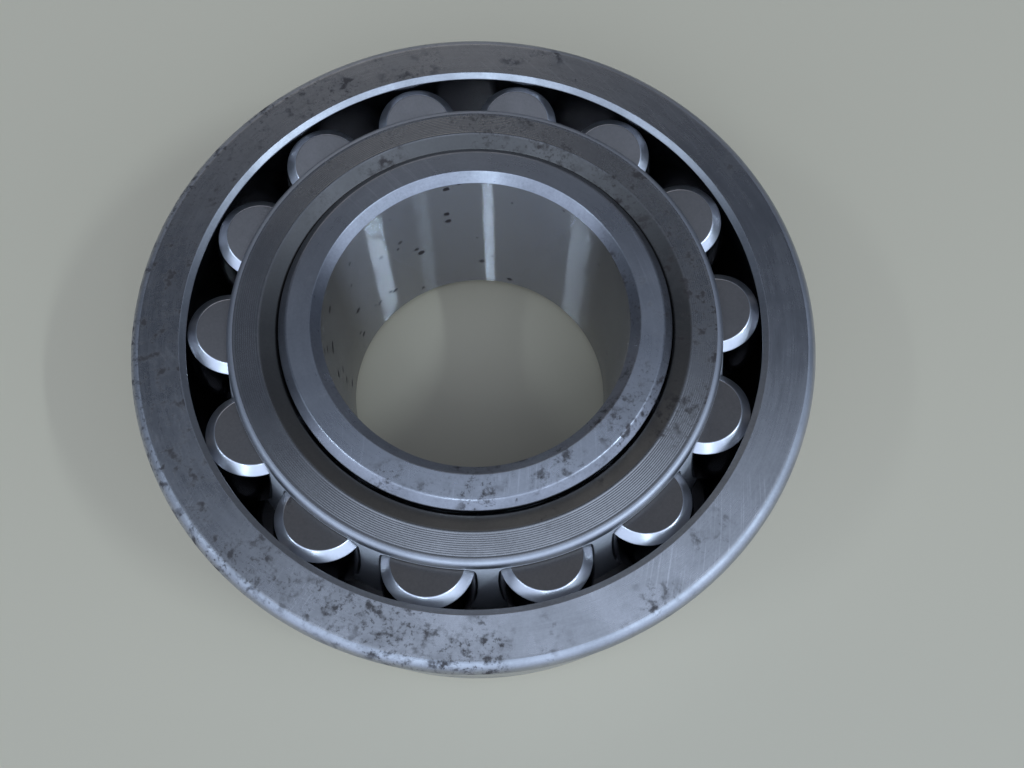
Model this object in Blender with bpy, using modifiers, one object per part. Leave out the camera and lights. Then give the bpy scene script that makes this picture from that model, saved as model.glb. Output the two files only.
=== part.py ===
"""Spherical roller bearing: 50 mm bore, 110 mm outside diameter, 40 mm wide.

Two rows of barrel rollers run in one spherical raceway of the outer ring. Each row has its own
pressed window cage, and a loose guide ring between the rows sits on the inner ring's middle land.
The origin is the bearing's centre, and the bearing turns about Z.
"""

import math

import bmesh
import bpy
from mathutils import Euler, Vector

MM = 0.001

# Boundary dimensions, ISO 15 dimension series 23
BORE_RADIUS = 25.0 * MM
OUTSIDE_RADIUS = 55.0 * MM
HALF_WIDTH = 20.0 * MM

# Outer ring
OUTER_CORNER_RADIUS = 2.0 * MM
RACEWAY_RADIUS = 50.0 * MM
OUTER_FACE_INNER_RADIUS = 47.0 * MM
RACEWAY_EDGE_HEIGHT = 19.2 * MM

# Rollers
ROLLERS_PER_ROW = 14
CONTACT_ANGLE = math.radians(13.5)
ROLLER_RADIUS = 7.5 * MM
ROLLER_LENGTH = 14.5 * MM
ROLLER_PROFILE_RADIUS = 49.7 * MM
ROLLER_CHAMFER = 1.1 * MM
ROLLING_GAP = 0.2 * MM

# Inner ring
BORE_CHAMFER = 1.5 * MM
INNER_FACE_OUTER_RADIUS = 30.4 * MM
SHOULDER_RADIUS = 31.8 * MM
SHOULDER_CHAMFER_HEIGHT = 1.3 * MM
SHOULDER_INNER_HEIGHT = 16.1 * MM
INNER_RACEWAY_EDGE_HEIGHT = 15.8 * MM
LAND_RADIUS = 35.6 * MM

# Guide ring
GUIDE_GAP = 0.25 * MM
GUIDE_OUTER_RADIUS = 41.8 * MM

# Cages
CAGE_THICKNESS = 1.6 * MM
CAGE_INNER_RADIUS = 32.3 * MM
CAGE_INNER_EDGE_TOP = 17.8 * MM
CAGE_CREASE_RADIUS = 34.9 * MM
CAGE_FACE_HEIGHT = 18.9 * MM
CAGE_FACE_OUTER_RADIUS = 39.1 * MM
CAGE_RIM_RADIUS = 40.2 * MM
CAGE_RIM_HEIGHT = 18.0 * MM
CAGE_END_HEIGHT = 0.5 * MM
WINDOW_GAP = 0.25 * MM
WINDOW_CORNER = 1.2 * MM
WINDOW_DEPTH_IN = 1.5 * MM
WINDOW_DEPTH_OUT = 3.0 * MM

# Facets round each kind of piece
RING_STEPS = 64
CAGE_STEPS = 56
ROLLER_STEPS = 14
RACEWAY_SEGMENTS = 8
INNER_RACEWAY_SEGMENTS = 4
CORNER_SEGMENTS = 2
WINDOW_SIDE_SEGMENTS = 3

MERGE_DISTANCE = 0.00001
SHARP_ANGLE = math.radians(25)

# Values that follow from the driving dimensions
PITCH_ANGLE = 2 * math.pi / ROLLERS_PER_ROW
CENTRE_DISTANCE = RACEWAY_RADIUS - ROLLING_GAP - ROLLER_RADIUS
CENTRE_RADIUS = CENTRE_DISTANCE * math.cos(CONTACT_ANGLE)
CENTRE_HEIGHT = CENTRE_DISTANCE * math.sin(CONTACT_ANGLE)


def clear_scene():
    for obj in list(bpy.data.objects):
        bpy.data.objects.remove(obj)


def make_collection(name):
    collection = bpy.data.collections.new(name)
    bpy.context.scene.collection.children.link(collection)
    return collection


def make_material(name, colour, roughness):
    material = bpy.data.materials.new(name)
    material.use_nodes = True
    shader = material.node_tree.nodes["Principled BSDF"]
    shader.inputs["Base Color"].default_value = (*colour, 1.0)
    shader.inputs["Metallic"].default_value = 1.0
    shader.inputs["Roughness"].default_value = roughness
    return material


def arc(centre, radius, start, end, segments):
    """Points (x, z) on a circle, from the start angle to the end angle, both included."""
    angles = [start + (end - start) * i / segments for i in range(segments + 1)]
    return [(centre[0] + radius * math.cos(a), centre[1] + radius * math.sin(a)) for a in angles]


def mirrored(points):
    """The points of an upper half profile, followed by their mirror image in reverse order."""
    return points + [(x, -z) for x, z in reversed(points)]


def evaluated_mesh(obj):
    depsgraph = bpy.context.evaluated_depsgraph_get()
    mesh = bpy.data.meshes.new_from_object(obj.evaluated_get(depsgraph))
    mesh.shade_smooth()
    mesh.set_sharp_from_angle(angle=SHARP_ANGLE)
    return mesh


def turned_mesh(name, profile, steps, closed):
    """Turn a profile of (radius, height) points, which runs down its outer side, about Z."""
    edges = [(i, i + 1) for i in range(len(profile) - 1)]
    if closed:
        edges.append((len(profile) - 1, 0))
    outline = bpy.data.meshes.new(name + "_profile")
    outline.from_pydata([(x, 0.0, z) for x, z in profile], edges, [])
    obj = bpy.data.objects.new(name + "_profile", outline)
    bpy.context.scene.collection.objects.link(obj)
    screw = obj.modifiers.new("Screw", "SCREW")
    screw.angle = 2 * math.pi
    screw.steps = steps
    screw.render_steps = steps
    screw.use_merge_vertices = True
    screw.merge_threshold = MERGE_DISTANCE
    mesh = evaluated_mesh(obj)
    mesh.name = name
    bpy.data.objects.remove(obj)
    return mesh


def add_object(name, mesh, material, collection, parent=None):
    if not mesh.materials:
        mesh.materials.append(material)
    obj = bpy.data.objects.new(name, mesh)
    collection.objects.link(obj)
    obj.parent = parent
    return obj


def outer_ring_profile():
    corner_x = OUTSIDE_RADIUS - OUTER_CORNER_RADIUS
    corner_z = HALF_WIDTH - OUTER_CORNER_RADIUS
    corner = arc((corner_x, corner_z), OUTER_CORNER_RADIUS, math.pi / 2, 0, CORNER_SEGMENTS)
    edge_angle = math.asin(RACEWAY_EDGE_HEIGHT / RACEWAY_RADIUS)
    raceway = arc((0, 0), RACEWAY_RADIUS, -edge_angle, edge_angle, RACEWAY_SEGMENTS)
    return mirrored([(OUTER_FACE_INNER_RADIUS, HALF_WIDTH)] + corner) + raceway


def inner_raceway():
    """Concave arc for the upper row, from the shoulder down to the middle land."""
    radius = RACEWAY_RADIUS
    distance = CENTRE_DISTANCE - ROLLER_RADIUS - ROLLING_GAP + radius
    centre_x = distance * math.cos(CONTACT_ANGLE)
    centre_z = distance * math.sin(CONTACT_ANGLE)
    start = math.pi - math.asin((INNER_RACEWAY_EDGE_HEIGHT - centre_z) / radius)
    end = math.pi + math.acos((centre_x - LAND_RADIUS) / radius)
    return arc((centre_x, centre_z), radius, start, end, INNER_RACEWAY_SEGMENTS)


def inner_ring_profile():
    face_and_shoulder = [
        (BORE_RADIUS, HALF_WIDTH - BORE_CHAMFER),
        (BORE_RADIUS + BORE_CHAMFER, HALF_WIDTH),
        (INNER_FACE_OUTER_RADIUS, HALF_WIDTH),
        (SHOULDER_RADIUS, HALF_WIDTH - SHOULDER_CHAMFER_HEIGHT),
        (SHOULDER_RADIUS, SHOULDER_INNER_HEIGHT),
    ]
    return mirrored(face_and_shoulder + inner_raceway())


def guide_side_height(radius):
    """Height of the guide ring's side at a radius: parallel to the rollers' inner ends, less a gap."""
    end_x = CENTRE_RADIUS + ROLLER_LENGTH / 2 * math.sin(CONTACT_ANGLE)
    end_z = CENTRE_HEIGHT - ROLLER_LENGTH / 2 * math.cos(CONTACT_ANGLE)
    return end_z + (radius - end_x) * math.tan(CONTACT_ANGLE) - GUIDE_GAP / math.cos(CONTACT_ANGLE)


def guide_ring_profile():
    bore = LAND_RADIUS + GUIDE_GAP
    return mirrored([(radius, guide_side_height(radius)) for radius in (bore, GUIDE_OUTER_RADIUS)])


def barrel_radius(height, gap=0.0):
    """Radius of the crowned roller at a height along its axis, enlarged by a gap."""
    sagitta = ROLLER_PROFILE_RADIUS - math.sqrt(ROLLER_PROFILE_RADIUS**2 - height**2)
    return ROLLER_RADIUS - sagitta + gap


def roller_profile():
    end = ROLLER_LENGTH / 2
    flank = end - ROLLER_CHAMFER
    upper = [(0.0, end), (barrel_radius(end) - ROLLER_CHAMFER, end)]
    upper += [(barrel_radius(z), z) for z in (flank, flank / 2)]
    middle = [(ROLLER_RADIUS, 0.0)]
    return upper + middle + [(x, -z) for x, z in reversed(upper)]


def cage_profile():
    """Closed section of the upper cage: ramp, flat face, rim, and the wall that leans with the rollers."""
    slope = math.tan(CONTACT_ANGLE)
    wall_width = CAGE_THICKNESS / math.cos(CONTACT_ANGLE)
    under_face = CAGE_FACE_HEIGHT - CAGE_THICKNESS
    foot_outer = CAGE_RIM_RADIUS + (CAGE_RIM_HEIGHT - CAGE_END_HEIGHT) * slope
    inner_corner = CAGE_RIM_RADIUS + (CAGE_RIM_HEIGHT - under_face) * slope - wall_width
    return [
        (CAGE_INNER_RADIUS, CAGE_INNER_EDGE_TOP),
        (CAGE_CREASE_RADIUS, CAGE_FACE_HEIGHT),
        (CAGE_FACE_OUTER_RADIUS, CAGE_FACE_HEIGHT),
        (CAGE_RIM_RADIUS, CAGE_RIM_HEIGHT),
        (foot_outer, CAGE_END_HEIGHT),
        (foot_outer - wall_width, CAGE_END_HEIGHT),
        (inner_corner, under_face),
        (CAGE_CREASE_RADIUS, under_face),
        (CAGE_INNER_RADIUS, CAGE_INNER_EDGE_TOP - CAGE_THICKNESS),
    ]


def window_outline():
    """Outline (width, height) of one window: the roller's barrel plus the gap, with cut corners."""
    end = ROLLER_LENGTH / 2 + WINDOW_GAP
    side_end = end - WINDOW_CORNER
    heights = [side_end * (2 * i / WINDOW_SIDE_SEGMENTS - 1) for i in range(WINDOW_SIDE_SEGMENTS + 1)]
    side = [(barrel_radius(z, WINDOW_GAP), z) for z in heights]
    side.append((barrel_radius(end, WINDOW_GAP) - WINDOW_CORNER, end))
    side.insert(0, (side[-1][0], -end))
    return side + [(-x, z) for x, z in reversed(side)]


def window_mesh():
    """A prism with the window's outline, as thick as the cut through the cage wall is deep."""
    curve = bpy.data.curves.new("window_outline", "CURVE")
    curve.dimensions = "2D"
    curve.fill_mode = "BOTH"
    curve.extrude = (WINDOW_DEPTH_IN + WINDOW_DEPTH_OUT) / 2
    outline = window_outline()
    spline = curve.splines.new("POLY")
    spline.points.add(len(outline) - 1)
    for point, (width, height) in zip(spline.points, outline):
        point.co = (width, height, 0.0, 1.0)
    spline.use_cyclic_u = True
    obj = bpy.data.objects.new("window_outline", curve)
    bpy.context.scene.collection.objects.link(obj)
    depsgraph = bpy.context.evaluated_depsgraph_get()
    mesh = bpy.data.meshes.new_from_object(obj.evaluated_get(depsgraph))
    bpy.data.objects.remove(obj)
    return mesh


def roller_azimuth(index):
    """The rollers sit half a pitch either side of the -Y direction, where a cage bar lies."""
    return -math.pi / 2 + (index + 0.5) * PITCH_ANGLE


def roller_rotation(index):
    """Lean a roller's axis inwards at its upper end, at its place in the row."""
    return Euler((0.0, -CONTACT_ANGLE, roller_azimuth(index)))


def roller_location(index):
    azimuth = roller_azimuth(index)
    return Vector((CENTRE_RADIUS * math.cos(azimuth), CENTRE_RADIUS * math.sin(azimuth), CENTRE_HEIGHT))


def window_cutter(collection):
    """One object with a prism for each of the cage's windows.

    Before it is leaned like its roller, a prism's width lies along Y, its height along Z and its
    thickness along X, which points away from the bearing's axis.
    """
    prism = window_mesh()
    shift = (WINDOW_DEPTH_OUT - WINDOW_DEPTH_IN) / 2
    placed = bmesh.new()
    for index in range(ROLLERS_PER_ROW):
        first = len(placed.verts)
        placed.from_mesh(prism)
        placed.verts.ensure_lookup_table()
        new_verts = placed.verts[first:]
        for vert in new_verts:
            vert.co = Vector((vert.co.z + shift, vert.co.x, vert.co.y))
        bmesh.ops.rotate(placed, verts=new_verts, matrix=roller_rotation(index).to_matrix())
        bmesh.ops.translate(placed, verts=new_verts, vec=roller_location(index))
    bmesh.ops.remove_doubles(placed, verts=placed.verts, dist=MERGE_DISTANCE)
    bmesh.ops.recalc_face_normals(placed, faces=placed.faces)
    mesh = bpy.data.meshes.new("cage_windows")
    placed.to_mesh(mesh)
    placed.free()
    cutter = bpy.data.objects.new("cage_windows", mesh)
    collection.objects.link(cutter)
    cutter.hide_render = True
    cutter.display_type = "WIRE"
    return cutter


def cage_mesh(cutter):
    blank = turned_mesh("cage", cage_profile(), CAGE_STEPS, closed=True)
    obj = bpy.data.objects.new("cage_blank", blank)
    bpy.context.scene.collection.objects.link(obj)
    boolean = obj.modifiers.new("Windows", "BOOLEAN")
    boolean.object = cutter
    boolean.operation = "DIFFERENCE"
    boolean.solver = "EXACT"
    mesh = evaluated_mesh(obj)
    mesh.name = "cage"
    bpy.data.objects.remove(obj)
    return mesh


def add_row(side, tilt, turn, meshes, materials, collection):
    """One row of rollers with its cage, under an empty that turns the row over for the lower side."""
    axis = bpy.data.objects.new("row_axis_" + side, None)
    axis.rotation_euler = (tilt, 0.0, turn)
    collection.objects.link(axis)
    add_object("cage_" + side, meshes["cage"], materials["cage"], collection, axis)
    for index in range(ROLLERS_PER_ROW):
        name = f"roller_{side}_{index + 1:02d}"
        roller = add_object(name, meshes["roller"], materials["roller"], collection, axis)
        roller.location = roller_location(index)
        roller.rotation_euler = roller_rotation(index)


def main():
    clear_scene()
    bearing = make_collection("spherical_roller_bearing")
    cutters = make_collection("cutters")
    materials = {
        "ring": make_material("ring_steel", (0.32, 0.33, 0.36), 0.32),
        "guide": make_material("guide_ring_steel", (0.28, 0.28, 0.29), 0.40),
        "cage": make_material("pressed_cage_steel", (0.26, 0.25, 0.25), 0.42),
        "roller": make_material("roller_steel", (0.42, 0.42, 0.44), 0.18),
    }
    rings = {
        "outer_ring": (outer_ring_profile(), "ring"),
        "inner_ring": (inner_ring_profile(), "ring"),
        "guide_ring": (guide_ring_profile(), "guide"),
    }
    for name, (profile, material) in rings.items():
        mesh = turned_mesh(name, profile, RING_STEPS, closed=True)
        add_object(name, mesh, materials[material], bearing)
    meshes = {
        "roller": turned_mesh("roller", roller_profile(), ROLLER_STEPS, closed=False),
        "cage": cage_mesh(window_cutter(cutters)),
    }
    add_row("upper", 0.0, 0.0, meshes, materials, bearing)
    add_row("lower", math.pi, PITCH_ANGLE / 2, meshes, materials, bearing)


main()
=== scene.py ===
"""The looks of the spherical roller bearing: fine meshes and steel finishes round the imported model."""

import math

import bmesh
import bpy
from mathutils import Euler, Matrix, Vector


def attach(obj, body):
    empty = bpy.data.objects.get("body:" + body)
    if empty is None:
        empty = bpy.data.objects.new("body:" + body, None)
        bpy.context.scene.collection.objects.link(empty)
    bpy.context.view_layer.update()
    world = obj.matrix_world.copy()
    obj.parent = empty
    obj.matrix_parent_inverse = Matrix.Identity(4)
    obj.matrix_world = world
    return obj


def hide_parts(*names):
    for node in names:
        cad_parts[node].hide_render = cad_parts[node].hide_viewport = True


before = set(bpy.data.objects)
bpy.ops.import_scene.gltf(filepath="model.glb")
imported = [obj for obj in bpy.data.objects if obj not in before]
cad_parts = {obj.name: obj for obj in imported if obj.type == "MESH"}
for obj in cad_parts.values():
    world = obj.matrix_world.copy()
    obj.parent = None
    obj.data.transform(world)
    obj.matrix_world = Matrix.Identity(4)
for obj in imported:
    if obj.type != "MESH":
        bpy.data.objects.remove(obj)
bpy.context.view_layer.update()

MM = 0.001
PI = math.pi

# The bearing's sizes in millimetres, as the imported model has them
OUTSIDE_RADIUS = 55.0
HALF_WIDTH = 20.0
BORE_RADIUS = 25.0
RACEWAY_RADIUS = 50.0
RACEWAY_EDGE_HEIGHT = 19.2
OUTER_FACE_INNER_RADIUS = 47.0
OUTER_CORNER_RADIUS = 2.0

ROLLERS_PER_ROW = 14
PITCH_ANGLE = 2 * PI / ROLLERS_PER_ROW
CONTACT_ANGLE = math.radians(13.5)
SIN_A = math.sin(CONTACT_ANGLE)
COS_A = math.cos(CONTACT_ANGLE)
TAN_A = math.tan(CONTACT_ANGLE)
ROLLER_RADIUS = 7.5
ROLLER_LENGTH = 14.5
ROLLER_PROFILE_RADIUS = 49.7
ROLLER_CHAMFER = 1.3
ROLLING_GAP = 0.2
CENTRE_DISTANCE = RACEWAY_RADIUS - ROLLING_GAP - ROLLER_RADIUS
CENTRE_RADIUS = CENTRE_DISTANCE * COS_A
CENTRE_HEIGHT = CENTRE_DISTANCE * SIN_A

BORE_CHAMFER = 1.5
INNER_FACE_OUTER_RADIUS = 30.4
SHOULDER_RADIUS = 31.8
SHOULDER_TOP = 18.7
SHOULDER_FOOT = 16.1
INNER_RACEWAY_EDGE_HEIGHT = 15.8
LAND_RADIUS = 35.6

GUIDE_GAP = 0.25
GUIDE_OUTER_RADIUS = 41.8

CAGE_THICKNESS = 1.6
CAGE_INNER_RADIUS = 32.3
CAGE_INNER_EDGE_TOP = 17.8
CAGE_CREASE_RADIUS = 34.9
CAGE_FACE_HEIGHT = 18.9
CAGE_RIM_RADIUS = 40.2
CAGE_RIM_HEIGHT = 18.0
CAGE_END_HEIGHT = 0.5
WINDOW_GAP = 0.25
WINDOW_CORNER = 1.2

# Where the cage's wall lies against the rollers, and where its plain top and foot begin
WALL_OUT = (CAGE_RIM_RADIUS - CENTRE_RADIUS) * COS_A + (CAGE_RIM_HEIGHT - CENTRE_HEIGHT) * SIN_A
WALL_TOP = 7.72
WALL_FOOT = -8.9

# Small details that only the visible model has
EDGE_FILLET = 0.15
CHAMFER_FILLET = 0.25
INNER_FACE_FILLET = 0.6
ROLLER_FILLET = 0.4
GUIDE_FILLET = 0.3
WINDOW_FILLET = 0.12
CAGE_EDGE_FILLET = 0.35
CAGE_FOOT_FILLET = 0.3
UNDER_FACE_FILLET = 0.3
CREASE_FILLET = 1.0
RIM_BEND = 1.12
GROOVES = 11
GROOVES_INNER = 35.2
GROOVES_OUTER = 38.75
GROOVE_DEPTH = 0.02
GROOVE_PROFILE = ((0.0, 0.0), (0.2, 0.8), (0.5, 1.0), (0.8, 0.8))  # shares of the pitch and the depth

# Fineness of the meshes
RING_STEPS = 288
RACEWAY_STEPS = 40
INNER_RACEWAY_STEPS = 14
ROLLER_STEPS = 72
FLANK_STEPS = 6
CAGE_STEPS_PER_PITCH = 18
CAGE_SIDE_STEPS = 14
CELL_SIDES = (CAGE_STEPS_PER_PITCH, CAGE_SIDE_STEPS) * 2  # top, right, bottom and left of a window's cell
WINDOW_STEPS = 12
WINDOW_LIP_STEPS = 3
LARGE_FILLET = 1.0
LARGE_FILLET_STEP = math.radians(8)
SMALL_FILLET_STEP = math.radians(15)
SUPPORT = 0.05  # distance of a support point from the end of its fillet
MERGE_DISTANCE = 0.001

# How level and how near to a surface a face has to be for that surface's finish
LEVEL = 0.995
ROLLER_END_LEVEL = 0.99
NEAR_FACE = 0.05
NEAR_BORE = 0.02
NEAR_SHOULDER = 0.3
NEAR_BAND_TOP = 0.1
NEAR_BAND_EDGE = 0.3

# Steel: how much each pattern changes the colour, the roughness and the bump's height (in millimetres
# times BUMP_DISTANCE), and the colours of dirt and of the painted shade inside the cage's crease, where the
# steel is also duller
MARK_TINT = 0.5
CLOUD_TINT = 0.5
GRAIN_TINT = 0.4
SCRATCH_TINT = 0.40
MARK_ROUGHNESS = 0.15
CLOUD_ROUGHNESS = 0.25
DIRT_ROUGHNESS = 0.30
DULL_ROUGHNESS = 0.10
LEAST_ROUGHNESS = 0.05
SCRATCH_DEPTH = 0.5
PIT_DEPTH = 1.5
BUMP_DISTANCE = 0.02
FINE_MARKS_SHARE = 0.6
COARSER = 5  # how much wider the coarse marks are than the fine ones
NOISE_SHIFT = 500.0
NEAREST_TO_AXIS = 0.01
TARNISH = (0.055, 0.045, 0.042)
# Painted shade of the cage's crease, and how wide its edge blends
CREASE_PAINTED_SHADE = (0.150, 0.142, 0.128)
SHADE_AND_DULL_BLEND = 0.3

# Handling scratches, on circles round a centre given in millimetres
ARC_CENTRE = (-64.0, -18.0)
ARCS_PER_MM = 3.2
ARC_BREAKS = 5.0

# Stains and pits. Sizes are in millimetres, and the rest are levels in noise that goes from 0 to 1
STAIN_COVER = 0.85
STAIN_START = 0.60
STAIN_SOFTNESS = 0.20
STAIN_GROWTH = 0.14
STAIN_LEAN = 0.19
FLECKS_SHARE = 0.8
SMEAR_SHARE = 0.25
LONE_SPOTS_PER_MM = 0.30
LONE_SPOT_SIZE = 0.8
LONE_SPOT_RARITY = 0.80
LONE_SPOT_GROWTH = 0.10
PITS_PER_MM = 0.34
PIT_SIZE = 1.5
SPOT_LEAN = 0.10
SPOT_LARGEST_AT = 1.05
SPOT_WOBBLE = 2.5

# Honing of the bore
HONING_TIP = math.radians(62)
HONING_COAT_ROUGHNESS = 0.06
HONING_COAT_IOR = 3.2
QUARTER_TURN = 0.25

# The room's light in each direction. Directions are unit vectors that point away from the bearing
BRIGHT_SIDE = (0.84, 1.02, 1.40, 1.0)
DIM_SIDE = (0.06, 0.075, 0.11, 1.0)
FAR_WALL = (0.46, 0.48, 0.53, 1.0)
VIEWER = (0.05, 0.055, 0.06, 1.0)
BELOW = (0.08, 0.08, 0.08, 1.0)
VIEWER_WAY = (0.0, -0.25, 0.968)
SIDE_LIMIT = 0.3
SIDE_DIMMING = 0.60  # how much sooner the bright part ends towards both sides
LEFT_DIMMING = 0.26  # and towards the left more than towards the right

# Strip lights: name, angle from -Y towards +X in degrees, width and height in metres, power in watts
STRIP_LIGHTS = (
    ("bore_strip", -10.5, 0.018, 1.0, 4.2),
    ("window_strip", 64.0, 0.03, 0.35, 6.5),
    ("faint_strip", 31.0, 0.05, 0.5, 0.9),
    ("side_strip", -73.0, 0.04, 0.4, 2.8),
)
STRIP_DISTANCE = 1.3
STRIP_ALTITUDE = 1.4
STRIP_COLOUR = (0.62, 0.80, 1.0)

# The floor, in metres
FLOOR_SIZE = 3.0
FLOOR_GAP = 0.0001
FLOOR_COLOUR = (0.57, 0.49, 0.345, 1.0)
FLOOR_ROUGHNESS = 0.6

# The camera: its place in metres, and its turns about X, Y and Z in degrees
CAMERA_PLACE = (0.00045, -0.05724, 0.14610)
CAMERA_TURNS = (19.64, -1.06, -2.78)
CAMERA_TURN_ORDER = "YXZ"
CAMERA_LENS = 30.23
CAMERA_SENSOR = 36.0
CAMERA_CLIP_START = 0.005

# ---------------------------------------------------------------- outlines


def arc(centre, radius, start, end, segments):
    """Points on a circle, from the start angle to the end angle, both included."""
    angles = [start + (end - start) * i / segments for i in range(segments + 1)]
    return [(centre[0] + radius * math.cos(a), centre[1] + radius * math.sin(a)) for a in angles]


def mirrored(points):
    """The points of an upper half outline, followed by their mirror image in reverse order."""
    return points + [(x, -z, *rest) for x, z, *rest in reversed(points)]


def rounded(corners, closed=True):
    """Round an outline's corners, given as (radius, height) or (radius, height, fillet).

    A support point on each side of a fillet keeps the smooth shading of the flat stretches flat.
    """
    points = []
    count = len(corners)
    for i, corner in enumerate(corners):
        here = Vector(corner[:2])
        fillet = corner[2] if len(corner) > 2 else 0.0
        at_end = not closed and i in (0, count - 1)
        if not fillet or at_end:
            points.append(tuple(here))
            continue
        before = (Vector(corners[i - 1][:2]) - here).normalized()
        after = (Vector(corners[(i + 1) % count][:2]) - here).normalized()
        half = before.angle(after) / 2
        reach = fillet / math.tan(half)
        centre = here + (before + after).normalized() * (fillet / math.sin(half))
        start = here + before * reach
        end = here + after * reach
        points.append(tuple(start + before * SUPPORT))
        turn = PI - 2 * half
        step = LARGE_FILLET_STEP if fillet >= LARGE_FILLET else SMALL_FILLET_STEP
        steps = max(2, round(turn / step))
        from_centre = start - centre
        sign = 1 if from_centre.cross(end - centre) > 0 else -1
        for k in range(steps + 1):
            to_point = Matrix.Rotation(sign * turn * k / steps, 2) @ from_centre
            points.append(tuple(centre + to_point))
        points.append(tuple(end + after * SUPPORT))
    return points


# ---------------------------------------------------------------- meshes


def finish_mesh(name, bm, materials, pick=None):
    """Turn a bmesh in millimetres into a smooth-shaded mesh in metres, with a material for each face.

    pick gives the number of a face's material from its radius, height and normal.
    """
    bmesh.ops.remove_doubles(bm, verts=bm.verts, dist=MERGE_DISTANCE)
    bmesh.ops.recalc_face_normals(bm, faces=bm.faces)
    if pick:
        for face in bm.faces:
            centre = face.calc_center_median()
            face.material_index = pick(math.hypot(centre.x, centre.y), centre.z, face.normal)
    bmesh.ops.scale(bm, vec=(MM, MM, MM), verts=bm.verts)
    mesh = bpy.data.meshes.new(name)
    bm.to_mesh(mesh)
    bm.free()
    mesh.shade_smooth()
    for material in materials:
        mesh.materials.append(material)
    return mesh


def spin_outline(bm, outline, steps, closed=True):
    """Turn an outline of (radius, height) points about Z, into the bmesh."""
    verts = [bm.verts.new((x, 0.0, z)) for x, z in outline]
    edges = [bm.edges.new(pair) for pair in zip(verts, verts[1:])]
    if closed:
        edges.append(bm.edges.new((verts[-1], verts[0])))
    bmesh.ops.spin(
        bm, geom=verts + edges, cent=(0, 0, 0), axis=(0, 0, 1),
        angle=2 * PI, steps=steps, use_merge=True, use_duplicate=False,
    )


def turned(name, outline, steps, materials, pick=None, closed=True):
    """A mesh made by turning an outline about Z."""
    bm = bmesh.new()
    spin_outline(bm, outline, steps, closed)
    return finish_mesh(name, bm, materials, pick)


def add_piece(name, mesh, body, node, matrix=None):
    """A visible piece that rides on a body and stands for its CAD node."""
    piece = bpy.data.objects.new(name, mesh)
    bpy.context.scene.collection.objects.link(piece)
    if matrix:
        piece.matrix_world = matrix
    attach(piece, body)
    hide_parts(node)


# ---------------------------------------------------------------- material nodes


def node(tree, kind, inputs=None, **settings):
    """Add a shader node with its settings, and set or link its inputs, given by name or number."""
    made = tree.nodes.new("ShaderNode" + kind)
    for key, value in settings.items():
        setattr(made, key, value)
    for key, value in (inputs or {}).items():
        if isinstance(value, bpy.types.NodeSocket):
            tree.links.new(value, made.inputs[key])
        else:
            made.inputs[key].default_value = value
    return made


def calc(tree, operation, *values):
    """The result of a math node on numbers or on other nodes' outputs."""
    return node(tree, "Math", dict(enumerate(values)), operation=operation).outputs[0]


def blended(tree, share, low, high):
    """A colour between two others. A colour mix has its inputs at 0, 6 and 7, and its result at 2."""
    mix = node(tree, "Mix", {0: share, 6: low, 7: high}, data_type="RGBA")
    return mix.outputs[2]


def step_up(tree, value, start, end, low=0.0, high=1.0):
    """A smooth step from low to high, as the value goes from start to end."""
    inputs = {"Value": value, "From Min": start, "From Max": end, "To Min": low, "To Max": high}
    return node(tree, "MapRange", inputs, interpolation_type="SMOOTHSTEP").outputs[0]


def noise(tree, where, scale=1.0, detail=2.0, roughness=0.5, distortion=0.0):
    """Noise between 0 and 1. The scale is in waves per millimetre where the place is in millimetres."""
    inputs = {"Vector": where, "Scale": scale, "Detail": detail, "Roughness": roughness,
              "Distortion": distortion}
    return node(tree, "TexNoise", inputs).outputs["Fac"]


def vector(tree, x, y, z):
    return node(tree, "CombineXYZ", {0: x, 1: y, 2: z}).outputs[0]


def hypotenuse(tree, x, y):
    squares = calc(tree, "ADD", calc(tree, "MULTIPLY", x, x), calc(tree, "MULTIPLY", y, y))
    return calc(tree, "SQRT", squares)


def varied(tree, base, pattern, amount):
    """A value, changed by a pattern's distance from its middle times an amount."""
    return calc(tree, "MULTIPLY_ADD", calc(tree, "SUBTRACT", pattern, 0.5), amount, base)


class Place:
    """Where a surface point is, in millimetres, measured about the piece's own Z axis."""

    def __init__(self, tree):
        coords = node(tree, "TexCoord").outputs["Object"]
        scaled = node(tree, "VectorMath", {0: coords, 3: 1 / MM}, operation="SCALE")
        random = node(tree, "ObjectInfo").outputs["Random"]
        self.shift = calc(tree, "MULTIPLY", random, NOISE_SHIFT)
        self.point = scaled.outputs[0]
        moved = node(tree, "VectorMath", {0: self.point, 1: self.shift}, operation="ADD")
        self.moved = moved.outputs[0]
        split = node(tree, "SeparateXYZ", {0: self.point})
        self.x, self.y, self.z = split.outputs
        self.radius = hypotenuse(tree, self.x, self.y)
        divisor = calc(tree, "MAXIMUM", self.radius, NEAREST_TO_AXIS)
        self.east = calc(tree, "DIVIDE", self.x, divisor)
        self.north = calc(tree, "DIVIDE", self.y, divisor)
        self.across = calc(tree, "ADD", self.radius, self.z)

    def lay(self, tree, along, across):
        """Coordinates for marks that run round the axis: slow along the turn and fast across it."""
        return vector(
            tree,
            calc(tree, "MULTIPLY", self.east, along),
            calc(tree, "MULTIPLY", self.north, along),
            calc(tree, "MULTIPLY_ADD", self.across, across, self.shift),
        )


def turning_marks(tree, place, fineness):
    """Fine and coarse marks that run round the axis, as one height between 0 and 1."""
    fine = noise(tree, place.lay(tree, along=9.0, across=fineness), detail=3.0, roughness=0.6)
    coarse = noise(tree, place.lay(tree, along=3.0, across=fineness / COARSER))
    fine_share = calc(tree, "MULTIPLY", fine, FINE_MARKS_SHARE)
    return calc(tree, "MULTIPLY_ADD", coarse, 1 - FINE_MARKS_SHARE, fine_share)


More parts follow.
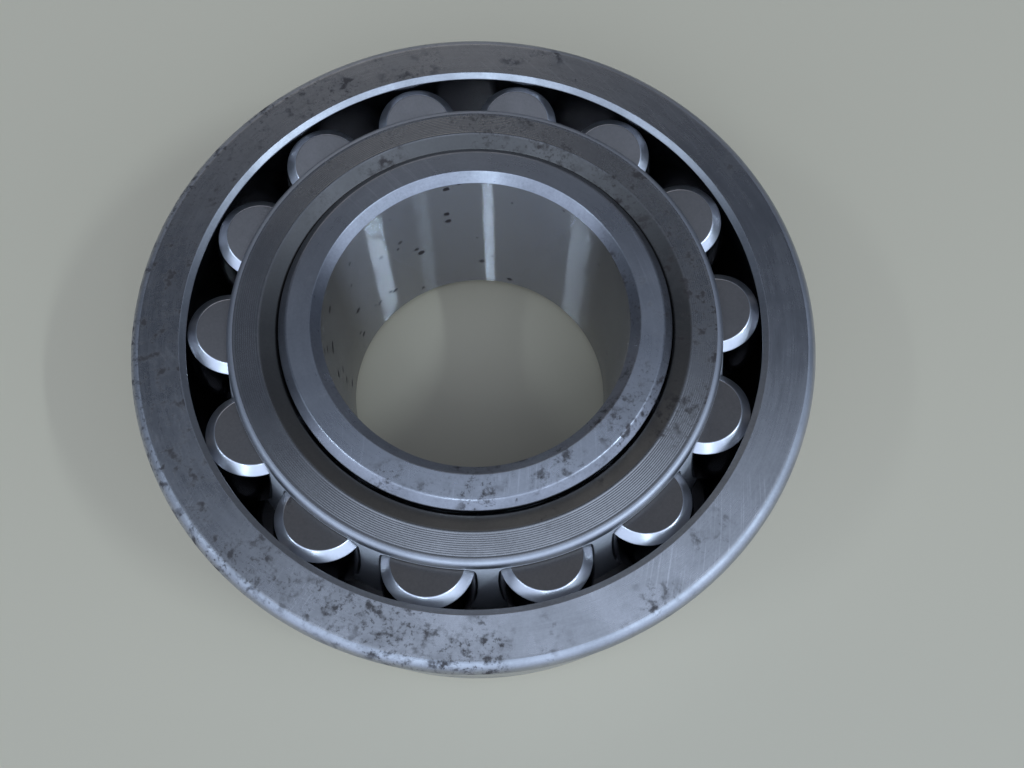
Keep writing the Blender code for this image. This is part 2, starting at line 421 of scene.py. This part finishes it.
def handling_scratches(tree, place):
    """Long shallow scratches on circles round a far centre, only where the piece was handled."""
    off_x = calc(tree, "SUBTRACT", place.x, ARC_CENTRE[0])
    off_y = calc(tree, "SUBTRACT", place.y, ARC_CENTRE[1])
    distance = calc(tree, "MULTIPLY", hypotenuse(tree, off_x, off_y), ARCS_PER_MM)
    bend = calc(tree, "MULTIPLY", calc(tree, "ARCTAN2", off_y, off_x), ARC_BREAKS)
    lines = noise(tree, vector(tree, distance, bend, place.z), detail=3.0, roughness=0.65)
    scratches = step_up(tree, lines, start=0.52, end=0.72)
    handled = step_up(tree, noise(tree, place.moved, scale=0.045), start=0.46, end=0.60)
    return calc(tree, "MULTIPLY", scratches, handled)


def side_share(tree, place, lean):
    """How far a point lies towards the lean direction (east, north), from -1 to 1."""
    return calc(tree, "MULTIPLY_ADD", place.east, lean[0], calc(tree, "MULTIPLY", place.north, lean[1]))


def spots(tree, place, per_mm, size, rarity, lean_share, sway=0.5):
    """Separate spots of uneven outline and of all sizes up to the one given, in millimetres."""
    wobble_inputs = {"Vector": place.moved, "Scale": SPOT_WOBBLE * per_mm, "Detail": 4.0}
    wobble = node(tree, "TexNoise", wobble_inputs).outputs["Color"]
    sway_inputs = {0: wobble, 1: (sway / per_mm,) * 3, 2: place.moved}
    swayed = node(tree, "VectorMath", sway_inputs, operation="MULTIPLY_ADD").outputs[0]
    cells = node(tree, "TexVoronoi", {"Vector": swayed, "Scale": per_mm, "Randomness": 1.0})
    chance = node(tree, "SeparateXYZ", {0: cells.outputs["Color"]}).outputs[0]
    chance = calc(tree, "MULTIPLY_ADD", lean_share, SPOT_LEAN, chance)
    radius = step_up(tree, chance, start=rarity, end=SPOT_LARGEST_AT, high=size / 2 * per_mm)
    inside = calc(tree, "SUBTRACT", radius, cells.outputs["Distance"])
    return step_up(tree, inside, start=-0.02, end=0.08)


def stain_mask(tree, place, amount, lean):
    """Soft dark blots and mottling in clusters, with a few lone spots, thickest on the side of the lean."""
    share = side_share(tree, place, lean)
    scatter = noise(tree, place.moved, scale=0.11, detail=3.0, roughness=0.55)
    wanted = calc(tree, "MULTIPLY_ADD", share, STAIN_LEAN, scatter)
    start = STAIN_START - STAIN_GROWTH * amount
    cluster = step_up(tree, wanted, start=start, end=start + STAIN_SOFTNESS)
    blots = noise(tree, place.moved, scale=0.50, detail=6.0, roughness=0.62)
    blots = step_up(tree, blots, start=0.50, end=0.66)
    flecks = noise(tree, place.moved, scale=1.7, detail=4.0, roughness=0.62)
    flecks = step_up(tree, flecks, start=0.52, end=0.70)
    smear = noise(tree, place.moved, scale=0.16, detail=4.0, roughness=0.6)
    smear = step_up(tree, smear, start=0.44, end=0.70)
    marks = calc(tree, "MAXIMUM", blots, calc(tree, "MULTIPLY", flecks, FLECKS_SHARE))
    marks = calc(tree, "MULTIPLY_ADD", smear, SMEAR_SHARE, marks)
    rarity = LONE_SPOT_RARITY - LONE_SPOT_GROWTH * amount
    lone = spots(tree, place, LONE_SPOTS_PER_MM, LONE_SPOT_SIZE, rarity, share)
    return calc(tree, "MINIMUM", calc(tree, "MULTIPLY_ADD", cluster, marks, lone), 1.0)


def honed_normal(tree, place):
    """The normal of grooves that are too fine to see, tipped up or down along the axis by chance."""
    chance = node(tree, "TexWhiteNoise", {"Vector": place.point}, noise_dimensions="3D").outputs["Value"]
    tip = varied(tree, 0.0, chance, 2 * HONING_TIP)
    flat = node(tree, "NewGeometry").outputs["Normal"]
    axis = node(tree, "VectorTransform", {"Vector": (0.0, 0.0, 1.0)}, vector_type="VECTOR",
                convert_from="OBJECT", convert_to="WORLD").outputs[0]
    along = node(tree, "VectorMath", {0: axis}, operation="NORMALIZE").outputs[0]
    raised = node(tree, "VectorMath", {0: along, 3: calc(tree, "SINE", tip)}, operation="SCALE").outputs[0]
    level = node(tree, "VectorMath", {0: flat, 3: calc(tree, "COSINE", tip)}, operation="SCALE").outputs[0]
    return node(tree, "VectorMath", {0: level, 1: raised}, operation="ADD").outputs[0]


def add_honing(tree, shader, place, dirt):
    """Reflections drawn out round the axis, and a coat over clean steel that draws gleams out along it."""
    shader.inputs["Anisotropic"].default_value = 1.0
    shader.inputs["Anisotropic Rotation"].default_value = QUARTER_TURN
    tangent = node(tree, "Tangent", direction_type="RADIAL", axis="Z").outputs[0]
    tree.links.new(tangent, shader.inputs["Tangent"])
    tree.links.new(calc(tree, "SUBTRACT", 1.0, dirt), shader.inputs["Coat Weight"])
    shader.inputs["Coat Roughness"].default_value = HONING_COAT_ROUGHNESS
    shader.inputs["Coat IOR"].default_value = HONING_COAT_IOR
    tree.links.new(honed_normal(tree, place), shader.inputs["Coat Normal"])


def steel(name, colour, roughness, marks=0.5, fineness=5.0, arcs=0.0, stains=0.0, pits=0.0,
          lean=(-0.8, -0.5), cloud=0.5, bump=0.4, metallic=1.0, honed=False, painted_shade_and_dull_inside=None):
    """Bare steel with its machining marks, clouding, scratches, stains and pits.

    marks, cloud, arcs, stains and pits say how strongly each of them shows, and fineness is the number of
    turning marks in a millimetre. Stains and pits gather on the side that lean (east, north) points to.
    Within the radius given by the last argument, the colour is darkened as painted shade of the cage's
    crease, and the steel is duller.
    """
    material = bpy.data.materials.new(name)
    material.use_nodes = True
    tree = material.node_tree
    shader = tree.nodes["Principled BSDF"]
    place = Place(tree)

    mark = turning_marks(tree, place, fineness)
    height = calc(tree, "MULTIPLY", mark, marks)
    clouding = noise(tree, place.moved, scale=0.12, detail=4.0, roughness=0.6, distortion=0.3)
    grain = noise(tree, place.moved, scale=2.2, detail=4.0, roughness=0.75)
    value = varied(tree, 1.0, mark, MARK_TINT * marks)
    value = varied(tree, value, clouding, -CLOUD_TINT * cloud)
    value = varied(tree, value, grain, GRAIN_TINT * cloud)
    rough = varied(tree, roughness, clouding, CLOUD_ROUGHNESS * cloud)
    rough = varied(tree, rough, mark, MARK_ROUGHNESS * marks)
    if arcs:
        scratch = calc(tree, "MULTIPLY", handling_scratches(tree, place), arcs)
        value = calc(tree, "MULTIPLY_ADD", scratch, SCRATCH_TINT, value)
        height = calc(tree, "MULTIPLY_ADD", scratch, -SCRATCH_DEPTH, height)
    # Painted shade: inside that radius the colour blends towards a darker one in place of the shade in the
    # cage's crease, and the roughness rises too
    if painted_shade_and_dull_inside:
        shade_and_dull = step_up(tree, place.radius, start=painted_shade_and_dull_inside + SHADE_AND_DULL_BLEND, end=painted_shade_and_dull_inside - SHADE_AND_DULL_BLEND)
        colour = blended(tree, shade_and_dull, (*colour, 1.0), (*CREASE_PAINTED_SHADE, 1.0))
        rough = calc(tree, "MULTIPLY_ADD", shade_and_dull, DULL_ROUGHNESS, rough)
    tinted = node(tree, "VectorMath", {0: colour, 3: value}, operation="SCALE").outputs[0]
    dirt = 0.0
    if stains:
        dirt = calc(tree, "MULTIPLY", stain_mask(tree, place, stains, lean), STAIN_COVER)
    if pits:
        share = side_share(tree, place, lean)
        pit = spots(tree, place, PITS_PER_MM, PIT_SIZE, 1.0 - pits, share, sway=0.25)
        height = calc(tree, "MULTIPLY_ADD", pit, -PIT_DEPTH, height)
        dirt = calc(tree, "MAXIMUM", dirt, pit)
    if stains or pits:
        tinted = blended(tree, dirt, tinted, (*TARNISH, 1.0))
        rough = calc(tree, "MULTIPLY_ADD", dirt, DIRT_ROUGHNESS, rough)

    tree.links.new(tinted, shader.inputs["Base Color"])
    tree.links.new(calc(tree, "MAXIMUM", rough, LEAST_ROUGHNESS), shader.inputs["Roughness"])
    shader.inputs["Metallic"].default_value = metallic
    if honed:
        add_honing(tree, shader, place, dirt)
    bumped = node(tree, "Bump", {"Strength": bump, "Distance": BUMP_DISTANCE * MM, "Height": height})
    tree.links.new(bumped.outputs[0], shader.inputs["Normal"])
    return material


# ---------------------------------------------------------------- rings


def outer_ring_outline():
    """The ring's section, with the spherical raceway as an arc about the bearing's centre."""
    edge_angle = math.asin(RACEWAY_EDGE_HEIGHT / RACEWAY_RADIUS)
    raceway = arc((0.0, 0.0), RACEWAY_RADIUS, -edge_angle, edge_angle, RACEWAY_STEPS)
    raceway[0] = (*raceway[0], EDGE_FILLET)
    raceway[-1] = (*raceway[-1], EDGE_FILLET)
    upper = [
        (OUTER_FACE_INNER_RADIUS, HALF_WIDTH, EDGE_FILLET),
        (OUTSIDE_RADIUS, HALF_WIDTH, OUTER_CORNER_RADIUS),
    ]
    return rounded(mirrored(upper) + raceway)


def outer_ring_zone(radius, height, normal):
    """0 face, 1 rounded corner, 2 outside, 3 edge chamfer, 4 raceway."""
    if abs(normal.z) > LEVEL and abs(height) > HALF_WIDTH - NEAR_FACE:
        return 0
    if radius > OUTSIDE_RADIUS - OUTER_CORNER_RADIUS:
        return 2 if abs(height) < HALF_WIDTH - OUTER_CORNER_RADIUS else 1
    return 3 if abs(height) > RACEWAY_EDGE_HEIGHT - NEAR_FACE else 4


def inner_raceway():
    """Concave arc for the upper row, from the shoulder down to the middle land."""
    distance = CENTRE_DISTANCE - ROLLER_RADIUS - ROLLING_GAP + RACEWAY_RADIUS
    centre_x = distance * COS_A
    centre_z = distance * SIN_A
    start = PI - math.asin((INNER_RACEWAY_EDGE_HEIGHT - centre_z) / RACEWAY_RADIUS)
    end = PI + math.acos((centre_x - LAND_RADIUS) / RACEWAY_RADIUS)
    return arc((centre_x, centre_z), RACEWAY_RADIUS, start, end, INNER_RACEWAY_STEPS)


def inner_ring_outline():
    """The ring's section, with a raceway and a chamfered shoulder for each row."""
    upper = [
        (BORE_RADIUS, HALF_WIDTH - BORE_CHAMFER, CHAMFER_FILLET),
        (BORE_RADIUS + BORE_CHAMFER, HALF_WIDTH, CHAMFER_FILLET),
        (INNER_FACE_OUTER_RADIUS, HALF_WIDTH, INNER_FACE_FILLET),
        (SHOULDER_RADIUS, SHOULDER_TOP, CHAMFER_FILLET),
        (SHOULDER_RADIUS, SHOULDER_FOOT),
    ]
    return rounded(mirrored(upper + inner_raceway()))


def inner_ring_zone(radius, height, normal):
    """0 face, 1 chamfers, 2 bore, 3 shoulder and raceways."""
    if abs(normal.z) > LEVEL and abs(height) > HALF_WIDTH - NEAR_FACE:
        return 0
    if radius < BORE_RADIUS + NEAR_BORE and abs(height) < HALF_WIDTH - BORE_CHAMFER:
        return 2
    return 1 if abs(height) > SHOULDER_TOP - NEAR_SHOULDER else 3


def guide_side_height(radius):
    """Height of the guide ring's side, which is parallel to the rollers' inner ends."""
    end_x = CENTRE_RADIUS + ROLLER_LENGTH / 2 * SIN_A
    end_z = CENTRE_HEIGHT - ROLLER_LENGTH / 2 * COS_A
    return end_z + (radius - end_x) * TAN_A - GUIDE_GAP / COS_A


def guide_ring_outline():
    """The section of the loose ring between the rows, wider at its outside."""
    radii = (LAND_RADIUS + GUIDE_GAP, GUIDE_OUTER_RADIUS)
    return rounded(mirrored([(r, guide_side_height(r), GUIDE_FILLET) for r in radii]))


# ---------------------------------------------------------------- rollers


def barrel_radius(height, gap=0.0):
    """Radius of the crowned roller at a height along its axis, enlarged by a gap."""
    sagitta = ROLLER_PROFILE_RADIUS - math.sqrt(ROLLER_PROFILE_RADIUS**2 - height**2)
    return ROLLER_RADIUS - sagitta + gap


def roller_outline():
    """Half the section of a barrel, from the middle of one end to the middle of the other."""
    end = ROLLER_LENGTH / 2
    flank = end - ROLLER_CHAMFER
    upper = [(0.0, end), (barrel_radius(end) - ROLLER_CHAMFER, end, ROLLER_FILLET)]
    upper.append((barrel_radius(flank), flank, ROLLER_FILLET))
    heights = [flank * (1 - i / FLANK_STEPS) for i in range(1, FLANK_STEPS)]
    upper += [(barrel_radius(z), z) for z in heights]
    lower = mirrored(upper)[len(upper):]
    return rounded([*upper, (ROLLER_RADIUS, 0.0), *lower], closed=False)


def roller_zone(radius, height, normal):
    """0 end face, 1 chamfer, 2 flank."""
    if abs(normal.z) > ROLLER_END_LEVEL:
        return 0
    return 1 if abs(height) > ROLLER_LENGTH / 2 - ROLLER_CHAMFER else 2


def row_matrix(side):
    """The lower row is the upper one turned over, and turned on by half a pitch."""
    if side == "upper":
        return Matrix.Identity(4)
    return Euler((PI, 0.0, PITCH_ANGLE / 2)).to_matrix().to_4x4()


def roller_azimuth(index):
    """A cage bar lies at -Y, with a roller half a pitch to each side of it."""
    return -PI / 2 + (index + 0.5) * PITCH_ANGLE


def roller_matrix(side, index):
    azimuth = roller_azimuth(index)
    place = Vector((CENTRE_RADIUS * math.cos(azimuth), CENTRE_RADIUS * math.sin(azimuth), CENTRE_HEIGHT))
    lean = Euler((0.0, -CONTACT_ANGLE, azimuth)).to_matrix().to_4x4()
    return row_matrix(side) @ Matrix.Translation(place * MM) @ lean


# ---------------------------------------------------------------- cages


def wall_section(slant, depth):
    """(radius, height) in the cage wall, at a height along the rollers' slant and a depth under its skin."""
    out = WALL_OUT - depth
    return CENTRE_RADIUS + out * COS_A - slant * SIN_A, CENTRE_HEIGHT + out * SIN_A + slant * COS_A


def wall_place(width, along, depth):
    """(azimuth, slant) in the cage wall of a point given in a roller's own frame."""
    # The slant changes the radius a little and the radius the slant, which three rounds settle
    slant = along
    for _ in range(3):
        radius = wall_section(slant, depth)[0]
        slant = along - (radius - math.sqrt(radius**2 - width**2)) * SIN_A
    return math.asin(width / wall_section(slant, depth)[0]), slant


def resampled(points, count):
    """A polyline's points spread out evenly, without its last one."""
    lengths = [0.0]
    for here, there in zip(points, points[1:]):
        lengths.append(lengths[-1] + math.dist(here, there))
    spread = []
    k = 0
    for i in range(count):
        wanted = lengths[-1] * i / count
        while lengths[k + 1] < wanted:
            k += 1
        share = (wanted - lengths[k]) / (lengths[k + 1] - lengths[k])
        spread.append(tuple(Vector(points[k]).lerp(Vector(points[k + 1]), share)))
    return spread


def window_outline():
    """Outline (width, height) of a window, as one loop: along its top, right side, bottom and left side."""
    end = ROLLER_LENGTH / 2 + WINDOW_GAP
    corner = (barrel_radius(end, WINDOW_GAP), end)
    heights = [end * (1 - 2 * i / WINDOW_STEPS) for i in range(1, WINDOW_STEPS)]
    right = [(barrel_radius(z, WINDOW_GAP), z) for z in heights]
    corners = [(*corner, WINDOW_CORNER), *right, (corner[0], -end, WINDOW_CORNER)]
    corners += [(-x, z, *rest) for x, z, *rest in reversed(corners)]
    loop = rounded(corners)
    ways = [(-1, 1), (1, 1), (1, -1), (-1, -1)]
    turns = [max(range(len(loop)), key=lambda k: loop[k][0] * sx + loop[k][1] * sz) for sx, sz in ways]
    outline = []
    for start, stop, count in zip(turns, turns[1:] + turns[:1], CELL_SIDES):
        span = (stop - start) % len(loop)
        part = [loop[(start + k) % len(loop)] for k in range(span + 1)]
        outline += resampled(part, count)
    return outline


def widened(outline, offset):
    """An outline that runs clockwise, moved outwards by an offset."""
    moved = []
    for i, here in enumerate(outline):
        along = Vector(outline[(i + 1) % len(outline)]) - Vector(outline[i - 1])
        outwards = Vector((-along.y, along.x)).normalized()
        moved.append(tuple(Vector(here) + outwards * offset))
    return moved


def cell_edge():
    """The edge of one pitch of the wall, as (azimuth, slant), with as many points as a window's outline."""
    half = PITCH_ANGLE / 2
    corners = [(-half, WALL_TOP), (half, WALL_TOP), (half, WALL_FOOT), (-half, WALL_FOOT)]
    edge = []
    for start, stop, count in zip(corners, corners[1:] + corners[:1], CELL_SIDES):
        edge += resampled([start, stop], count)
    return edge


def cell_loops():
    """Loops of (azimuth, radius, height) for one pitch of the wall, from its outside through the window."""
    outline = window_outline()
    turns = [PI / 2 * k / WINDOW_LIP_STEPS for k in range(WINDOW_LIP_STEPS + 1)]
    lip = [(WINDOW_FILLET * (1 - math.sin(t)), WINDOW_FILLET * (1 - math.cos(t))) for t in turns]
    through = lip + [(offset, CAGE_THICKNESS - depth) for offset, depth in reversed(lip)]
    loops = []
    for offset, depth in through:
        places = [wall_place(w, n, depth) for w, n in widened(outline, offset)]
        loops.append((places, depth))
    edge = cell_edge()
    for at_end in (0, -1):
        inner, depth = loops[at_end]
        between = [tuple(Vector(a).lerp(Vector(b), 0.5)) for a, b in zip(edge, inner)]
        extra = [(edge, depth), (between, depth)]
        loops = extra + loops if at_end == 0 else loops + extra[::-1]
    return [[(a, *wall_section(s, depth)) for a, s in loop] for loop, depth in loops]


def add_rows(bm, rows):
    """Join closed rows of (azimuth, radius, height) points into quads."""
    made = []
    for row in rows:
        made.append([bm.verts.new((r * math.cos(a), r * math.sin(a), z)) for a, r, z in row])
    for above, below in zip(made, made[1:]):
        for k in range(len(above)):
            after = (k + 1) % len(above)
            bm.faces.new((above[k], above[after], below[after], below[k]))


def grooved_face():
    """The turned band on the cage's face, from its outer side inwards, with a real groove for each pass."""
    points = []
    pitch = (GROOVES_OUTER - GROOVES_INNER) / GROOVES
    for i in range(GROOVES):
        outer = GROOVES_OUTER - i * pitch
        points += [(outer - pitch * share, CAGE_FACE_HEIGHT - depth * GROOVE_DEPTH)
                   for share, depth in GROOVE_PROFILE]
    points.append((GROOVES_INNER, CAGE_FACE_HEIGHT))
    return points


def cage_top_outline():
    """From the wall's outside over the rim, the face and the ramp to the wall's inside."""
    rim_x = CAGE_RIM_RADIUS - (CAGE_FACE_HEIGHT - CAGE_RIM_HEIGHT) * TAN_A
    under_face = CAGE_FACE_HEIGHT - CAGE_THICKNESS
    corners = [
        wall_section(WALL_TOP, 0.0),
        (rim_x, CAGE_FACE_HEIGHT, RIM_BEND),
        *grooved_face(),
        (CAGE_CREASE_RADIUS, CAGE_FACE_HEIGHT, CREASE_FILLET),
        (CAGE_INNER_RADIUS, CAGE_INNER_EDGE_TOP, CAGE_EDGE_FILLET),
        (CAGE_INNER_RADIUS, CAGE_INNER_EDGE_TOP - CAGE_THICKNESS, CAGE_EDGE_FILLET),
        (CAGE_CREASE_RADIUS, under_face, UNDER_FACE_FILLET),
        wall_section(WALL_TOP, CAGE_THICKNESS),
    ]
    return rounded(corners, closed=False)


def cage_foot_outline():
    """Round the wall's lower end, from its inside to its outside."""
    foot_x = CAGE_RIM_RADIUS + (CAGE_RIM_HEIGHT - CAGE_END_HEIGHT) * TAN_A
    corners = [
        wall_section(WALL_FOOT, CAGE_THICKNESS),
        (foot_x - CAGE_THICKNESS / COS_A, CAGE_END_HEIGHT, CAGE_FOOT_FILLET),
        (foot_x, CAGE_END_HEIGHT, CAGE_FOOT_FILLET),
        wall_section(WALL_FOOT, 0.0),
    ]
    return rounded(corners, closed=False)


def cage_zone(radius, height, normal):
    """0 ramp, 1 turned face band, 2 rim, 3 wall."""
    if radius < CAGE_CREASE_RADIUS:
        return 0
    if height > CAGE_FACE_HEIGHT - NEAR_BAND_TOP and radius < GROOVES_OUTER + NEAR_BAND_EDGE:
        return 1
    return 2 if height > wall_section(WALL_TOP, 0.0)[1] else 3


def cage_mesh(materials):
    """The upper cage: its plain top and foot turned, and one window repeated round its wall."""
    bm = bmesh.new()
    steps = ROLLERS_PER_ROW * CAGE_STEPS_PER_PITCH
    first = roller_azimuth(0) - PITCH_ANGLE / 2
    azimuths = [first + 2 * PI * k / steps for k in range(steps)]
    for outline in (cage_top_outline(), cage_foot_outline()):
        add_rows(bm, [[(a, r, z) for a in azimuths] for r, z in outline])
    loops = cell_loops()
    for index in range(ROLLERS_PER_ROW):
        turn = roller_azimuth(index)
        add_rows(bm, [[(a + turn, r, z) for a, r, z in loop] for loop in loops])
    return finish_mesh("cage_fine", bm, materials, cage_zone)


# ---------------------------------------------------------------- the bearing


def build_rings():
    outer = turned("outer_ring_fine", outer_ring_outline(), RING_STEPS, outer_ring_steels(), outer_ring_zone)
    add_piece("outer_ring_finished", outer, "outer_ring", "outer_ring")
    inner = turned("inner_ring_fine", inner_ring_outline(), RING_STEPS, inner_ring_steels(), inner_ring_zone)
    add_piece("inner_ring_finished", inner, "inner_ring", "inner_ring")
    guide = turned("guide_ring_fine", guide_ring_outline(), RING_STEPS, [guide_ring_steel()])
    add_piece("guide_ring_finished", guide, "guide_ring", "guide_ring")


def build_rows():
    cage = cage_mesh(cage_steels())
    roller = turned("roller_fine", roller_outline(), ROLLER_STEPS, roller_steels(), roller_zone, closed=False)
    for side in ("upper", "lower"):
        node_name = "cage_" + side
        add_piece(node_name + "_finished", cage, node_name, node_name, row_matrix(side))
        for index in range(ROLLERS_PER_ROW):
            node_name = f"roller_{side}_{index + 1:02d}"
            matrix = roller_matrix(side, index)
            add_piece(node_name + "_finished", roller, node_name, node_name, matrix)


def outer_ring_steels():
    return [
        steel("ring_face", (0.41, 0.40, 0.385), 0.27, marks=0.8, fineness=4.0, arcs=0.9, stains=1.15,
              lean=(-0.95, -0.1), cloud=0.9),
        steel("ring_corner", (0.42, 0.42, 0.43), 0.46, marks=1.0, fineness=4.0, stains=0.8,
              lean=(-0.95, -0.1), cloud=0.9),
        steel("ring_outside", (0.42, 0.42, 0.42), 0.32, marks=0.6, fineness=6.0, stains=0.4),
        steel("ring_edge_chamfer", (0.38, 0.38, 0.38), 0.38, marks=0.6, fineness=7.0, cloud=1.4),
        # Painted shade: the raceway's colour is darker than the ring's other steel, to deepen the dark gaps
        # round the rollers
        steel("raceway", (0.30, 0.30, 0.31), 0.20, marks=0.3, fineness=5.0, bump=0.15),
    ]


def inner_ring_steels():
    return [
        steel("inner_face", (0.45, 0.45, 0.45), 0.29, marks=0.4, fineness=5.0, arcs=0.6, stains=0.6,
              lean=(0.5, -0.8), cloud=0.7),
        steel("inner_chamfers", (0.33, 0.33, 0.34), 0.32, marks=0.5, fineness=6.0, stains=0.8,
              lean=(0.8, -0.4), cloud=1.4),
        steel("bore_wall", (0.080, 0.073, 0.070), 0.30, marks=0.2, fineness=6.0, pits=0.50, bump=0.1,
              lean=(-0.8, 0.6), cloud=0.3, honed=True),
        # Painted shade: the raceways' colour is darker than the face's, to deepen the dark gaps round the
        # rollers
        steel("inner_raceways", (0.34, 0.34, 0.35), 0.22, marks=0.4, fineness=5.0, bump=0.2),
    ]


def guide_ring_steel():
    return steel("guide_ring_turned", (0.28, 0.28, 0.29), 0.38, marks=0.7, fineness=4.0)


def cage_steels():
    return [
        # The ramp and the inner edge of the band get painted shade inside the crease
        steel("cage_ramp", (0.39, 0.374, 0.349), 0.24, marks=0.2, stains=0.8, lean=(0.7, 0.6), cloud=0.8,
              painted_shade_and_dull_inside=CAGE_CREASE_RADIUS),
        steel("cage_turned_band", (0.39, 0.374, 0.349), 0.24, marks=0.3, fineness=6.0, stains=0.8,
              lean=(0.7, 0.6), cloud=0.8, painted_shade_and_dull_inside=CAGE_CREASE_RADIUS),
        steel("cage_rim", (0.42, 0.42, 0.43), 0.46, marks=0.4, fineness=5.0, cloud=0.6),
        # Painted light: the wall is lighter and far less metallic than the cage's top, in place of the light
        # that bounces onto it from the raceway
        steel("cage_wall", (0.66, 0.66, 0.66), 0.52, marks=0.3, fineness=2.0, cloud=0.8, metallic=0.15),
    ]


def roller_steels():
    return [
        steel("roller_end", (0.245, 0.225, 0.205), 0.38, marks=0.35, fineness=3.5, stains=0.3,
              cloud=0.9, bump=0.25),
        # Painted highlight: the chamfer's colour is far lighter than the rest of the roller's steel, so that
        # it shines bright
        steel("roller_chamfer", (0.72, 0.72, 0.73), 0.31, marks=0.3, fineness=7.0, cloud=0.3, bump=0.2),
        # Painted shade: the flank's colour is darker than the chamfer's, to deepen the dark gaps between the
        # rollers and the rings
        steel("roller_flank", (0.34, 0.34, 0.36), 0.16, marks=0.2, fineness=5.0, bump=0.1),
    ]


# ---------------------------------------------------------------- studio


def build_floor():
    bpy.ops.mesh.primitive_plane_add(size=FLOOR_SIZE, location=(0.0, 0.0, -HALF_WIDTH * MM - FLOOR_GAP))
    floor = bpy.context.object
    floor.name = "floor"
    material = bpy.data.materials.new("pale_floor")
    material.use_nodes = True
    shader = material.node_tree.nodes["Principled BSDF"]
    shader.inputs["Base Color"].default_value = FLOOR_COLOUR
    shader.inputs["Roughness"].default_value = FLOOR_ROUGHNESS
    floor.data.materials.append(material)


def build_room_light():
    """A room that is bright and cool from the -Y side up to the zenith, and dim on the other side.

    The bright part is narrower towards both sides, the far wall is lit a little, and the viewer's dark shape
    stands overhead.
    """
    world = bpy.data.worlds.new("studio")
    bpy.context.scene.world = world
    world.use_nodes = True
    tree = world.node_tree
    way_in = node(tree, "TexCoord").outputs["Generated"]
    x, y, z = node(tree, "SeparateXYZ", {0: way_in}).outputs
    aside = calc(tree, "ABSOLUTE", x)

    near_aside = calc(tree, "MINIMUM", aside, SIDE_LIMIT)
    near_right = calc(tree, "MINIMUM", calc(tree, "MAXIMUM", x, -SIDE_LIMIT), SIDE_LIMIT)
    turn = calc(tree, "MULTIPLY_ADD", near_right, -LEFT_DIMMING, y)
    turn = calc(tree, "MULTIPLY_ADD", near_aside, SIDE_DIMMING, turn)
    turn = calc(tree, "ADD", turn, step_up(tree, aside, start=0.45, end=0.80, high=0.25))

    far = step_up(tree, y, start=0.52, end=0.78)
    far = calc(tree, "MULTIPLY", far, step_up(tree, z, start=0.05, end=0.5, low=0.3))
    far = calc(tree, "MULTIPLY", far, step_up(tree, x, start=0.22, end=0.0, low=0.35))
    dim = blended(tree, far, DIM_SIDE, FAR_WALL)
    colour = blended(tree, step_up(tree, turn, start=0.43, end=0.11), dim, BRIGHT_SIDE)

    from_viewer = node(tree, "VectorMath", {0: way_in, 1: VIEWER_WAY}, operation="DISTANCE").outputs["Value"]
    shade = step_up(tree, from_viewer, start=0.27, end=0.08, high=0.75)
    colour = blended(tree, shade, colour, VIEWER)
    colour = blended(tree, step_up(tree, z, start=0.10, end=0.0), colour, BELOW)
    background = tree.nodes["Background"]
    tree.links.new(colour, background.inputs["Color"])
    background.inputs["Strength"].default_value = 1.0


def add_strip_light(name, angle, width, height, power):
    """A narrow upright softbox that faces the bearing and makes a gleam on the bore's wall."""
    light = bpy.data.lights.new(name, "AREA")
    light.shape = "RECTANGLE"
    light.size = width
    light.size_y = height
    light.energy = power
    light.color = STRIP_COLOUR
    lamp = bpy.data.objects.new(name, light)
    bpy.context.scene.collection.objects.link(lamp)
    azimuth = math.radians(angle)
    place = (STRIP_DISTANCE * math.sin(azimuth), -STRIP_DISTANCE * math.cos(azimuth), STRIP_ALTITUDE)
    lamp.location = place
    lamp.rotation_euler = (-lamp.location).to_track_quat("-Z", "Z").to_euler()


def build_camera():
    data = bpy.data.cameras.new("camera")
    data.sensor_width = CAMERA_SENSOR
    data.lens = CAMERA_LENS
    data.clip_start = CAMERA_CLIP_START
    camera = bpy.data.objects.new("camera", data)
    bpy.context.scene.collection.objects.link(camera)
    camera.location = CAMERA_PLACE
    camera.rotation_mode = CAMERA_TURN_ORDER
    camera.rotation_euler = [math.radians(turn) for turn in CAMERA_TURNS]
    bpy.context.scene.camera = camera


build_rings()
build_rows()
build_floor()
build_room_light()
for strip in STRIP_LIGHTS:
    add_strip_light(*strip)
build_camera()
bpy.context.scene.view_settings.view_transform = "Standard"
